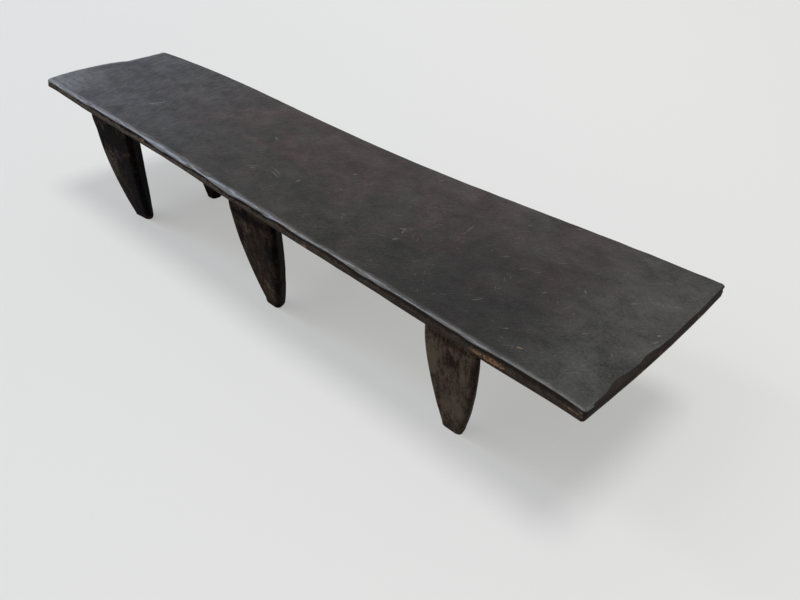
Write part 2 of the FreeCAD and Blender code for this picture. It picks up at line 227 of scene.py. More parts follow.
def new_mesh(name, points, faces):
    """A smooth-shaded object from points and faces, its normals turned outwards."""
    mesh = bpy.data.meshes.new(name)
    mesh.from_pydata([tuple(point) for point in points], [], faces)
    work = bmesh.new()
    work.from_mesh(mesh)
    bmesh.ops.recalc_face_normals(work, faces=work.faces)
    work.to_mesh(mesh)
    work.free()
    mesh.polygons.foreach_set("use_smooth", [True] * len(mesh.polygons))
    piece = bpy.data.objects.new(name, mesh)
    bpy.context.scene.collection.objects.link(piece)
    return piece


def mark(piece, name, values):
    """Store one number for each point, for the material to read."""
    layer = piece.data.attributes.new(name, "FLOAT", "POINT")
    layer.data.foreach_set("value", np.asarray(values, np.float32))


def steps(length):
    """Shares of a length from 0 to 1, closer together near both ends."""
    place = np.linspace(0, length, 4001)
    from_end = np.minimum(place, length - place)
    step = FINE_STEP + (COARSE_STEP - FINE_STEP) * smooth(from_end / FINE_REACH)
    count = np.concatenate(([0], np.cumsum((place[1] - place[0]) / step[1:])))
    whole = int(round(count[-1]))
    return np.interp(np.linspace(0, count[-1], whole + 1), count, place) / length


def hit(tree, start, direction):
    """Where a ray meets the plank."""
    place = tree.ray_cast(Vector(start), Vector(direction))[0]
    if place is None:
        raise RuntimeError(f"a ray from {tuple(start)} misses the plank")
    return place


def grid_faces(columns, rows, numbers):
    """Faces between neighbouring points of a grid."""
    return [
        (numbers[i, j], numbers[i + 1, j], numbers[i + 1, j + 1], numbers[i, j + 1])
        for i in range(columns - 1) for j in range(rows - 1)
    ]


def ring_faces(first, second):
    """Faces between two closed rings of points."""
    following = list(range(1, len(first))) + [0]
    return [
        (first[k], first[n], second[n], second[k]) for k, n in enumerate(following)
    ]


def border_grid(tree, level):
    """The grid of points inside the border, and its lines along the front and the back."""

    def front(x):
        return hit(tree, (x, 0, level), (0, -1, 0)).y + BORDER

    def back(x):
        return hit(tree, (x, 0, level), (0, 1, 0)).y - BORDER

    def narrow(y):
        hewn_in = table_value(NARROW_END_CUT, y, 1) * MM
        return hit(tree, (-0.9, y, level), (-1, 0, 0)).x + hewn_in + BORDER

    def wide(y):
        return hit(tree, (0.9, y, level), (1, 0, 0)).x - BORDER

    def corner(side, end, y):
        """Where two of the border's lines cross."""
        for _ in range(6):
            x = end(y)
            y = side(x)
        return x, y

    def side_line(line, start, end):
        x = start[0] + (end[0] - start[0]) * along[1:-1]
        return np.array([start] + [(each, line(each)) for each in x] + [end])

    def end_line(line, start, end):
        y = start[1] + (end[1] - start[1]) * across[1:-1]
        return np.array([start] + [(line(each), each) for each in y] + [end])

    narrow_front = corner(front, narrow, -0.3)
    wide_front = corner(front, wide, -0.3)
    narrow_back = corner(back, narrow, 0.05)
    wide_back = corner(back, wide, 0.3)
    along = steps(LENGTH - 2 * BORDER)
    across = steps(GRID_WIDTH)
    front_line = side_line(front, narrow_front, wide_front)
    back_line = side_line(back, narrow_back, wide_back)
    narrow_line = end_line(narrow, narrow_front, narrow_back)
    wide_line = end_line(wide, wide_front, wide_back)
    u = along[:, None, None]
    v = across[None, :, None]
    grid = (1 - v) * front_line[:, None] + v * back_line[:, None]
    grid = grid + (1 - u) * narrow_line[None] + u * wide_line[None]
    grid = grid - (1 - u) * (1 - v) * np.array(narrow_front)
    grid = grid - u * (1 - v) * np.array(wide_front)
    grid = grid - (1 - u) * v * np.array(narrow_back)
    return grid - u * v * np.array(wide_back), front_line, back_line


def border_loop(columns, rows):
    """Where a grid's outer points are: along the front, the wide end, the back, the narrow end."""
    loop = [(i, 0) for i in range(columns - 1)]
    loop += [(columns - 1, j) for j in range(rows - 1)]
    loop += [(i, rows - 1) for i in range(columns - 1, 0, -1)]
    loop += [(0, j) for j in range(rows - 1, 0, -1)]
    return np.array(loop).T


def outward_ways(ring, loop_columns, loop_rows, front_line, back_line):
    """Each border point's way out: at right angles to its side, and aslant near a corner."""
    x, y = ring[:, 0], ring[:, 1]
    to_narrow = 1 - smooth((x - x.min()) / CORNER_TURN)
    to_wide = 1 - smooth((x.max() - x) / CORNER_TURN)
    to_front = 1 - smooth((y - np.interp(x, front_line[:, 0], front_line[:, 1])) / CORNER_TURN)
    to_back = 1 - smooth((np.interp(x, back_line[:, 0], back_line[:, 1]) - y) / CORNER_TURN)
    on_side = (loop_rows == 0) | (loop_rows == loop_rows.max())
    side = np.where(loop_rows == 0, -1, 1)
    end = np.where(loop_columns == 0, -1, 1)
    ways = np.where(on_side[:, None], np.stack((to_wide - to_narrow, side), 1),
                    np.stack((end, to_back - to_front), 1))
    return ways / np.linalg.norm(ways, axis=1)[:, None]


def edge_shares(x, y):
    """How far each point of the wall belongs to the front, narrow end, wide end and back."""
    at_front = np.exp(-((y - (FRONT_LINE + FRONT_WAVE / 2)) / 0.03) ** 2)
    at_narrow = smooth((-LENGTH / 2 + 0.06 - x) / 0.03) * (1 - at_front)
    at_wide = np.exp(-((x - LENGTH / 2) / 0.03) ** 2) * (1 - at_front)
    at_back = np.clip(1 - at_front - at_narrow - at_wide, 0, 1)
    return at_front, at_narrow, at_wide, at_back


def rim_size(x, y, shares, column):
    """The worn rim's width on the top, column 0, or its depth on the face, column 1."""
    at_front, at_narrow, at_wide, at_back = shares
    size = at_front * table_value(FRONT_RIM, x, column + 1) + at_narrow * NARROW_END_RIM[column]
    size = size + at_wide * table_value(WIDE_END_BEVEL, y, column + 1) + at_back * BACK_RIM[column]
    return size / sum(shares) * (1 + 0.27 * noise(x, y, RIM_WAVE, 11 + column)) * MM


def plank():
    """The plank, with a worn rim, a hewn top and a rough bellied underside."""
    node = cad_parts["top_slab"]
    tree = BVHTree.FromObject(node, bpy.context.evaluated_depsgraph_get())
    level = TOP - WALL_DEPTH
    inner, front_line, back_line = border_grid(tree, level)
    columns, rows = inner.shape[:2]
    loop_columns, loop_rows = border_loop(columns, rows)
    ring = inner[loop_columns, loop_rows]
    ways = outward_ways(ring, loop_columns, loop_rows, front_line, back_line)
    found = [
        hit(tree, (place[0], place[1], level), (way[0], way[1], 0)) for place, way in zip(ring, ways)
    ]
    wall = np.array([(place.x, place.y) for place in found])
    wall[:, 0] += np.clip(-ways[:, 0], 0, 1) * table_value(NARROW_END_CUT, wall[:, 1], 1) * MM

    x, y = wall[:, 0], wall[:, 1]
    shares = edge_shares(x, y)
    at_front, at_narrow, at_wide, at_back = shares
    rim_width, rim_depth = rim_size(x, y, shares, 0), rim_size(x, y, shares, 1)

    def underside(point):
        return hit(tree, (point[0], point[1], 0.2), (0, 0, 1)).z

    def from_front(place):
        """How far a point lies inside the front edge."""
        return place[..., 1] - np.interp(place[..., 0], front_line[:, 0], front_line[:, 1]) + BORDER

    def inset(distance):
        """Points a distance in from the wall, towards the border."""
        share = (distance / BORDER)[:, None]
        return wall + (ring - wall) * share

    low_in = np.array([underside(place) for place in ring])
    low_near = np.array([underside(w + (r - w) * 0.45) for r, w in zip(ring, wall)])
    low_edge = low_near + (low_near - low_in) * 0.45 / 0.55
    around = np.cumsum(np.linalg.norm(wall - np.roll(wall, 1, axis=0), axis=1))
    wall_cut = 0.5 * MM * scoops(around, 0 * x, WALL_SCOOP, 13)
    wall_cut = wall_cut + 0.2 * MM * (1 + noise(x, y, WALL_WAVE, 14))

    points = []
    numbers = {}

    def add(name, places):
        numbers[name] = list(range(len(points), len(points) + len(places)))
        points.extend(places)

    # The rings from the border over the rim, down the wall, round the lower arris and back in
    rings = []
    for share in (0.75, 0.5, 0.28, 0.14, 0.05):
        rings.append((rim_width + (BORDER - rim_width) * share, 0 * x))
    flatness = 2 / (1.25 + 0.35 * at_back + 0.35 * at_narrow - 0.15 * at_wide)
    for angle in np.radians(np.arange(0, 91, 11.25)):
        width = (rim_width - wall_cut) * (1 - max(0, math.sin(angle)) ** flatness) + wall_cut
        rings.append((width, rim_depth * (1 - max(0, math.cos(angle)) ** flatness)))
    names = []
    for k, (width, drop) in enumerate(rings):
        place = inset(width)
        height = TOP - top_relief(place[:, 0], place[:, 1], from_front(place)) - drop
        names.append(f"rim{k}")
        add(names[-1], np.column_stack((place, height)))
    rim_end = np.array([points[n][2] for n in numbers[names[-1]]])
    arris = ARRIS * (1 + 0.3 * noise(x, y, ARRIS_WAVE, 17))
    for k, share in enumerate((0.12, 0.28, 0.42, 0.56, 0.7, 0.85, 1.0)):
        height = rim_end + (low_edge + arris - rim_end) * share
        hollow = EDGE_HOLLOW * math.sin(math.pi * min(1, share / 0.56)) ** 2
        rough = 0.5 * MM * noise(around, height, WALL_ROUGHNESS, 19) * math.sin(math.pi * share)
        names.append(f"wall{k}")
        add(names[-1], np.column_stack((inset(np.maximum(0, wall_cut + hollow + rough)), height)))
    for angle in np.radians((22.5, 45, 67.5, 90)):
        names.append(f"arris{angle:.2f}")
        width = wall_cut + arris * (1 - math.cos(angle))
        height = low_edge + arris * (1 - math.sin(angle)) + (low_in - low_edge) * width / BORDER
        add(names[-1], np.column_stack((inset(width), height)))
    start = wall_cut + arris
    for k, share in enumerate((0.3, 0.65)):
        width = start + (BORDER - start) * share
        place = inset(width)
        height = low_edge + (low_in - low_edge) * width / BORDER
        height = height + underside_relief(place[:, 0], place[:, 1]) * smooth(share)
        names.append(f"under{k}")
        add(names[-1], np.column_stack((place, height)))

    flat = inner.reshape(-1, 2)
    add("top", np.column_stack((flat, TOP - top_relief(flat[:, 0], flat[:, 1], from_front(flat)))))
    under = np.array([underside(place) for place in flat])
    add("bottom", np.column_stack((flat, under + underside_relief(flat[:, 0], flat[:, 1]))))
    top = np.array(numbers["top"]).reshape(columns, rows)
    bottom = np.array(numbers["bottom"]).reshape(columns, rows)
    belt = [list(top[loop_columns, loop_rows])]
    belt += [numbers[name] for name in names]
    belt.append(list(bottom[loop_columns, loop_rows]))
    oiled = grid_faces(columns, rows, top)
    hewn = grid_faces(columns, rows, bottom)
    for k, (first, second) in enumerate(zip(belt, belt[1:])):
        for n, face in enumerate(ring_faces(first, second)):
            bevelled = at_wide[n] > 0.5 and k > 5
            (hewn if k >= len(rings) or bevelled else oiled).append(face)
    faces = [tuple(int(n) for n in face) for face in oiled + hewn]
    piece = new_mesh("plank", points, faces)
    piece.data.polygons.foreach_set("material_index", [0] * len(oiled) + [1] * len(hewn))
    mark_plank(piece, points, numbers, shares, len(rings))
    return piece


def mark_plank(piece, points, numbers, shares, rim_rings):
    """Mark how far down its edge and how polished each point of the plank is, and where its rim gets
    painted shade.
    """
    at_front, at_narrow, at_wide, at_back = shares
    down_face = np.zeros(len(points))
    walls = [name for name in numbers if name.startswith("wall")]
    for k, name in enumerate(walls):
        down_face[numbers[name]] = (k + 1) / len(walls)
    for name in numbers:
        if name.startswith("arris"):
            down_face[numbers[name]] = 1.1
        if name.startswith("under") or name == "bottom":
            down_face[numbers[name]] = 2
    mark(piece, "down_face", down_face)
    polish = np.zeros(len(points))
    for k in range(rim_rings):
        share = (0, 0.1, 0.3, 0.7, 1)[min(k, 4)] if k < rim_rings - 2 else 0.5
        polish[numbers[f"rim{k}"]] = share * (at_front + 0.8 * at_narrow)
    places = np.array([tuple(point) for point in points])
    corner = smooth((-0.86 - places[:, 0]) / 0.15) * smooth((-0.16 - places[:, 1]) / 0.12)
    upwards = places[:, 2] > TOP - 6 * MM
    mark(piece, "polish", np.maximum(polish, 0.27 * corner * upwards))
    # Painted shade: the rim's rounding along the back edge, and half as much along the wide end,
    # darkened to a dark outline
    painted_shade_rim = np.zeros(len(points))
    for k in range(5, rim_rings):
        painted_shade_rim[numbers[f"rim{k}"]] = at_back + 0.5 * at_wide
    mark(piece, "painted_shade_rim", painted_shade_rim)


def rounded(corners, radius, arc_points, side_points):
    """A convex outline with rounded corners, the same number of points on each part."""
    outline = []
    for k in range(4):
        before, here, after = corners[k - 1], corners[k], corners[(k + 1) % 4]
        back_way = (before - here) / np.linalg.norm(before - here)
        on_way = (after - here) / np.linalg.norm(after - here)
        half = math.acos(np.clip(np.dot(back_way, on_way), -1, 1)) / 2
        middle = (back_way + on_way) / np.linalg.norm(back_way + on_way)
        centre = here + middle * radius / math.sin(half)
        start = here + back_way * radius / math.tan(half) - centre
        sweep = math.pi - 2 * half
        for share in np.linspace(0, 1, arc_points):
            a = sweep * share
            turned = (start[0] * math.cos(a) - start[1] * math.sin(a),
                      start[0] * math.sin(a) + start[1] * math.cos(a))
            outline.append(centre + np.array(turned))
        beyond = corners[(k + 2) % 4]
        way = (here - after) / np.linalg.norm(here - after)
        far_way = (beyond - after) / np.linalg.norm(beyond - after)
        far_half = math.acos(np.clip(np.dot(way, far_way), -1, 1)) / 2
        stop = after + way * radius / math.tan(far_half)
        first = outline[-1]
        for share in np.arange(1, side_points + 1) / (side_points + 1):
            outline.append(first + (stop - first) * share)
    return np.array(outline)


def leg_outline(pair, foot_inset, drop, shrink, trim, twist, flared):
    """A leg's cross-section: x along the plank, y inwards from its edge."""
    belly = math.sin(math.pi * min(1, drop * 1.05)) ** BELLY_POWER
    flare = flared * smooth(1 - drop / FLARE_REACH) ** 2
    half_root, half_foot = pair["root"] / 2, FOOT_WIDTH / 2
    wide_fall, narrow_fall = drop ** pair["wide_power"], drop ** pair["narrow_power"]
    outer_fall, inner_fall = drop ** OUTER_FACE_POWER, drop ** INNER_FACE_POWER
    right = half_root - (half_root - half_foot - FOOT_DRIFT) * wide_fall - shrink
    right = right + (pair["wide_swell"] * belly + 2 * flare + pair["wide_foot"] * drop ** 2) * MM
    left = (half_root - half_foot + FOOT_DRIFT) * narrow_fall - half_root + shrink
    left = left - (pair["narrow_swell"] * belly + pair["narrow_flare"] * flare) * MM
    left = left - pair["narrow_foot"] * drop ** 2 * MM + trim
    inner_share = INNER_ROOT_SHARE + (INNER_FOOT_SHARE - INNER_ROOT_SHARE) * drop
    middle, inner_half = (left + right) / 2, (right - left) / 2 * inner_share
    inner_root = ROOT_SETBACK + ROOT_DEPTH
    outer = ROOT_SETBACK + (foot_inset - FOOT_DEPTH / 2 - ROOT_SETBACK) * outer_fall + shrink
    inner = inner_root + (foot_inset + FOOT_DEPTH / 2 - inner_root) * inner_fall - shrink
    outer_right = right + twist * drop ** 3, outer + TWIST_INWARDS * twist * drop ** 3
    corners = ((left, outer), outer_right, (middle + inner_half, inner), (middle - inner_half, inner))
    return rounded(np.array(corners), LEG_ROUNDING - SOLE_ROUNDING_LOSS * shrink, 7, 13)


def leg(pair_name, edge_name, seed):
    """A leg with tool marks down its faces and a worn, rounded sole."""
    pair = PAIRS[pair_name]
    facing = 1 if edge_name == "front" else -1
    foot_inset = FOOT_INSETS[edge_name] * pair["insets"][edge_name]
    place_x = LENGTH * (pair[edge_name] - 0.5)
    if facing > 0:
        base = np.array((place_x, FRONT_LINE + FRONT_WAVE * pair["wave"]))
        turn = 0
    else:
        base = np.array((place_x, BACK_LINE_AT_NARROW_END + BACK_RUN_OUT * pair["spread"]))
        turn = math.pi + math.atan(BACK_RUN_OUT / LENGTH * pair["slope"])
    spin = np.array(((math.cos(turn), -math.sin(turn)), (math.sin(turn), math.cos(turn))))
    root_height = TOP - THICK_EDGE
    flared = 1 if edge_name == "front" else BACK_LEG_FLARE
    trimmed = (pair_name, edge_name) == ("narrow_end", "back")
    twist = FOOT_TWIST if (pair_name, edge_name) == ("narrow_end", "front") else 0
    sole_height, sole_shrink = pair["sole_height"], pair["sole_shrink"]
    heights = list(sole_height * (1 - np.cos(np.radians(np.arange(0, 90, 15)))))
    heights += list(np.linspace(sole_height, LEG_TOP, 84))
    points = []
    rings = []
    for height in heights:
        drop = min(1, max(0, 1 - (height - sole_height) / (root_height - sole_height)))
        low = max(0, 1 - height / sole_height)
        shrink = sole_shrink * (1 - math.sqrt(1 - low * low))
        trim = table_value(FOOT_TRIM, drop, 1) * MM if trimmed else 0
        local = leg_outline(pair, foot_inset, drop, shrink, trim, twist, flared)
        if facing < 0:
            local = local * np.array((-1, 1))
            local = local[::-1]
        around = np.concatenate(([0], np.cumsum(np.linalg.norm(np.diff(local, axis=0), axis=1))))
        centre = local.mean(axis=0)
        out = local - centre
        out = out / np.linalg.norm(out, axis=1)[:, None]
        seam = smooth(around / SEAM) * smooth((around[-1] - around) / SEAM)
        level = height + 0 * around
        cut = 0.9 * MM * scoops(around, level, LEG_SCOOP, seed)
        cut = cut + 0.5 * MM * (1 + noise(around, level, LEG_WAVE, seed + 1))
        cut = cut + 0.15 * MM * (1 + noise(around, level, LEG_GRAIN, seed + 2))
        local = local + out * (1.0 * MM - cut * seam)[:, None]
        world = base + local @ spin.T
        rings.append(list(range(len(points), len(points) + len(world))))
        points.extend((px, py, height) for px, py in world)
    faces = []
    for first, second in zip(rings, rings[1:]):
        faces += ring_faces(first, second)
    for end in (0, -1):
        last = rings[end]
        edge = np.array([points[n] for n in last])
        centre = edge.mean(axis=0)
        for share in (0.66, 0.33):
            inner = centre + (edge - centre) * share
            fresh = list(range(len(points), len(points) + len(inner)))
            points.extend(tuple(place) for place in inner)
            faces += ring_faces(last, fresh)
            last = fresh
        points.append(tuple(centre))
        middle = len(points) - 1
        faces += [(last[k], last[(k + 1) % len(last)], middle) for k in range(len(last))]
    return new_mesh(f"leg_{pair_name}_{edge_name}_wood", points, faces)


# Materials

FLOOR_COLOUR = (0.76, 0.76, 0.745, 1)
FLOOR_BOUNCE = (0.15, 0.15, 0.15, 1)
FLOOR_PLAIN_SHARE = 0.42
BRIGHT_SIDE = (-3.8, -2.5, 0)


class Shader:
    """A material and short ways to add nodes to it."""

    def __init__(self, name):
        self.material = bpy.data.materials.new(name)
        self.material.use_nodes = True
        self.nodes = self.material.node_tree.nodes
        self.links = self.material.node_tree.links
        self.nodes.clear()
        self.out = self.nodes.new("ShaderNodeOutputMaterial")

    def put(self, socket, value):
        if isinstance(value, bpy.types.NodeSocket):
            self.links.new(value, socket)
        else:
            socket.default_value = value

    def add(self, kind, **settings):
        node = self.nodes.new(kind)
        for word, value in settings.items():
            setattr(node, word, value)
        return node

    def places(self):
        return self.add("ShaderNodeTexCoord").outputs["Object"]

    def stretched(self, vector, scale, rotation=(0, 0, 0)):
        node = self.add("ShaderNodeMapping")
        self.put(node.inputs["Vector"], vector)
        node.inputs["Scale"].default_value = scale
        node.inputs["Rotation"].default_value = rotation
        return node.outputs["Vector"]

    def noise(self, vector, scale, detail=3.0, roughness=0.55, distortion=0.0):
        node = self.add("ShaderNodeTexNoise")
        self.put(node.inputs["Vector"], vector)
        for word, value in (("Scale", scale), ("Detail", detail), ("Roughness", roughness),
                            ("Distortion", distortion)):
            node.inputs[word].default_value = value
        return node.outputs["Fac"]

    def span(self, value, low, high, to_low=0.0, to_high=1.0):
        node = self.add("ShaderNodeMapRange", interpolation_type="SMOOTHSTEP")
        for word, each in (("Value", value), ("From Min", low), ("From Max", high),
                           ("To Min", to_low), ("To Max", to_high)):
            self.put(node.inputs[word], each)
        return node.outputs["Result"]

    def sum(self, operation, *values):
        node = self.add("ShaderNodeMath", operation=operation)
        for socket, value in zip(node.inputs, values):
            self.put(socket, value)
        return node.outputs[0]

    def number_mix(self, share, first, second):
        node = self.add("ShaderNodeMix", data_type="FLOAT")
        self.put(node.inputs[0], share)
        self.put(node.inputs[2], first)
        self.put(node.inputs[3], second)
        return node.outputs[0]

    def lean(self, tone, share, weight):
        """A tone moved up or down by how far a noise is from its middle."""
        return self.sum("MULTIPLY_ADD", self.sum("SUBTRACT", share, 0.5), weight, tone)

    def scale(self, colour, factor):
        node = self.add("ShaderNodeVectorMath", operation="SCALE")
        self.put(node.inputs[0], colour)
        self.put(node.inputs["Scale"], factor)
        return node.outputs[0]

    def mix(self, share, first, second):
        node = self.add("ShaderNodeMix", data_type="RGBA")
        self.put(node.inputs[0], share)
        self.put(node.inputs[6], first)
        self.put(node.inputs[7], second)
        return node.outputs[2]

    def painted(self, colour, mask, share, over):
        """A colour with a share of another over it where the mask is."""
        return self.mix(self.sum("MULTIPLY", mask, share), colour, over)

    def split(self, vector):
        node = self.add("ShaderNodeSeparateXYZ")
        self.put(node.inputs[0], vector)
        return node.outputs

    def attribute(self, name):
        return self.add("ShaderNodeAttribute", attribute_name=name).outputs["Fac"]

    def bump(self, height, strength, distance, normal=None):
        node = self.add("ShaderNodeBump")
        node.inputs["Strength"].default_value = strength
        node.inputs["Distance"].default_value = distance
        self.put(node.inputs["Height"], height)
        if normal is not None:
            self.put(node.inputs["Normal"], normal)
        return node.outputs["Normal"]

    def principled(self, colour, roughness, normal, specular):
        node = self.add("ShaderNodeBsdfPrincipled")
        self.put(node.inputs["Base Color"], colour)
        self.put(node.inputs["Roughness"], roughness)
        self.put(node.inputs["Normal"], normal)
        node.inputs["Specular IOR Level"].default_value = specular
        self.links.new(node.outputs[0], self.out.inputs["Surface"])
        return node


# Small scratches on the top: place, half length and half width in mm, turn in degrees
NICKS = (
    (0.752, -0.058, 7, 2, 60), (0.821, 0.028, 9, 2.5, 130), (0.932, 0.080, 6, 2, 70),
    (0.915, -0.122, 9, 2, 55), (0.773, -0.255, 7, 2, 50), (1.002, -0.144, 6, 2, 120),
    (1.051, -0.017, 9, 3, 75), (0.953, 0.238, 9, 2, 20), (0.538, 0.183, 6, 2, 60),
    (0.643, 0.278, 9, 2, 35), (-0.287, -0.032, 8, 3, 150), (-0.275, -0.040, 10, 1.5, 110),
    (-0.189, -0.214, 8, 3, 40), (-0.129, -0.172, 22, 1.5, -18), (-0.122, -0.188, 20, 1.5, -14),
    (-0.049, -0.163, 10, 3, 95), (0.027, -0.003, 7, 3, 60), (0.322, -0.116, 10, 3, 20),
    (0.330, -0.128, 9, 2, 110), (0.339, -0.171, 8, 3, 60), (0.216, 0.177, 7, 2, 60),
    (-0.705, -0.179, 26, 3, 70), (0.655, -0.215, 14, 1.5, 60), (0.440, 0.030, 22, 1.2, 100),
)
RAW_NICKS = ((0.838, -0.290, 7, 2, 20), (1.044, 0.012, 5, 2, 60))
DARK_NICKS = ((0.856, -0.293, 16, 1.5, -10),)
STREAK_ANGLE = math.radians(55)
FAR_STREAK_ANGLE = math.radians(98)

# Worn raw patches on the plank's edge: middle and half sizes
RAW_PATCHES = (
    ((0.800, -0.355, 0.382), (0.050, 0.03, 0.005)), ((0.815, -0.355, 0.386), (0.022, 0.03, 0.005)),
    ((1.035, -0.355, 0.388), (0.020, 0.03, 0.0015)), ((1.053, -0.355, 0.397), (0.004, 0.03, 0.002)),
    ((0.178, -0.350, 0.381), (0.010, 0.03, 0.003)), ((-0.545, -0.352, 0.394), (0.006, 0.03, 0.003)),
    ((1.067, -0.108, 0.379), (0.03, 0.018, 0.005)), ((1.067, -0.016, 0.386), (0.03, 0.010, 0.003)),
    ((1.067, 0.199, 0.389), (0.03, 0.008, 0.004)), ((1.067, -0.160, 0.374), (0.03, 0.030, 0.003)),
)
# Patches on the legs: middle and half sizes
RAW_LEG_PATCHES = (
    ((-0.674, -0.257, 0.004), (0.014, 0.03, 0.011)), ((0.707, -0.264, 0.004), (0.010, 0.03, 0.006)),
    ((-0.030, -0.272, 0.100), (0.008, 0.03, 0.016)),
)
PALE_LEG_PATCHES = (
    ((-0.770, -0.300, 0.210), (0.034, 0.06, 0.062)), ((-0.070, -0.318, 0.318), (0.026, 0.05, 0.020)),
    ((-0.090, -0.300, 0.240), (0.016, 0.05, 0.045)), ((-0.028, -0.272, 0.085), (0.022, 0.05, 0.045)),
    ((0.626, -0.320, 0.265), (0.020, 0.05, 0.065)), ((0.730, -0.305, 0.250), (0.015, 0.05, 0.030)),
    ((0.690, -0.290, 0.120), (0.040, 0.06, 0.055)),
)
# Dark patches on the legs, middle and half sizes: the wood's own dark patches, painted shade down the
# sides of the narrow-end and middle front legs that face the wide end, and painted shadow along the
# front legs' tops under the plank
DARK_AND_SHADED_LEG_PATCHES = (
    ((-0.802, -0.310, 0.295), (0.024, 0.05, 0.030)), ((-0.668, -0.290, 0.170), (0.046, 0.08, 0.150)),
    ((-0.696, -0.268, 0.060), (0.026, 0.06, 0.045)), ((-0.725, -0.320, 0.325), (0.090, 0.07, 0.042)),
    ((-0.107, -0.310, 0.269), (0.020, 0.05, 0.034)), ((0.022, -0.300, 0.270), (0.026, 0.05, 0.060)),
    ((0.006, -0.275, 0.150), (0.014, 0.04, 0.075)), ((0.690, -0.315, 0.300), (0.026, 0.05, 0.022)),
    ((0.640, -0.290, 0.105), (0.012, 0.05, 0.040)), ((-0.040, -0.330, 0.352), (0.090, 0.06, 0.016)),
    ((0.680, -0.335, 0.356), (0.090, 0.06, 0.010)),
)


def blob_mask(s, place, blobs, ragged):
    """1 within ellipsoids of given middles, half sizes and turns, ragged at their edges."""
    nearest = None
    for middle, half_sizes, angle in blobs:
        node = s.add("ShaderNodeMapping", vector_type="TEXTURE")
        s.put(node.inputs["Vector"], place)
        node.inputs["Location"].default_value = middle
        node.inputs["Rotation"].default_value = (0, 0, math.radians(angle))
        node.inputs["Scale"].default_value = half_sizes
        far = s.add("ShaderNodeVectorMath", operation="LENGTH")
        s.links.new(node.outputs[0], far.inputs[0])
        length = far.outputs["Value"]
        nearest = length if nearest is None else s.sum("MINIMUM", nearest, length)
    return s.span(s.sum("ADD", nearest, ragged), 1.15, 0.8)


def nick_mask(s, place, nicks, ragged):
    """1 in small scratches on the top."""
    blobs = [((x, y, TOP), (length * MM, width * MM, 1), angle) for x, y, length, width, angle in nicks]
    return blob_mask(s, place, blobs, ragged)


def patch_mask(s, place, patches, ragged):
    """1 in worn patches."""
    return blob_mask(s, place, [(middle, half_sizes, 0) for middle, half_sizes in patches], ragged)


